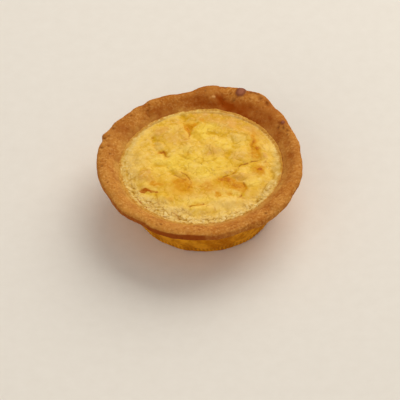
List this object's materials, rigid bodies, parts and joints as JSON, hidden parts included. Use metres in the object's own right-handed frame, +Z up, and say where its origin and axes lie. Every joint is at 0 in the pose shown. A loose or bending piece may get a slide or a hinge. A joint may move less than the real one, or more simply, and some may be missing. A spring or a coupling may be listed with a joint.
{
  "type": "portuguese custard tart",
  "caption": "Round baked custard tart: a shallow shortcrust case with a wide, uneven flared rim, filled with lumpy browned set custard.",
  "frame": {"origin": "centre of the flat foot that the tart stands on", "axes": "+Z up through the custard, -Y towards the side seen in front in the picture, +X to the picture's right"},
  "size_m": [0.0897, 0.0935, 0.0264],
  "materials": {
    "pastry": "matte, baked, finely pitted",
    "custard": "satin skin with browned patches"
  },
  "bodies": {
    "root": {"pastry_case": "pastry", "custard": "custard"}
  },
  "joints": []
}
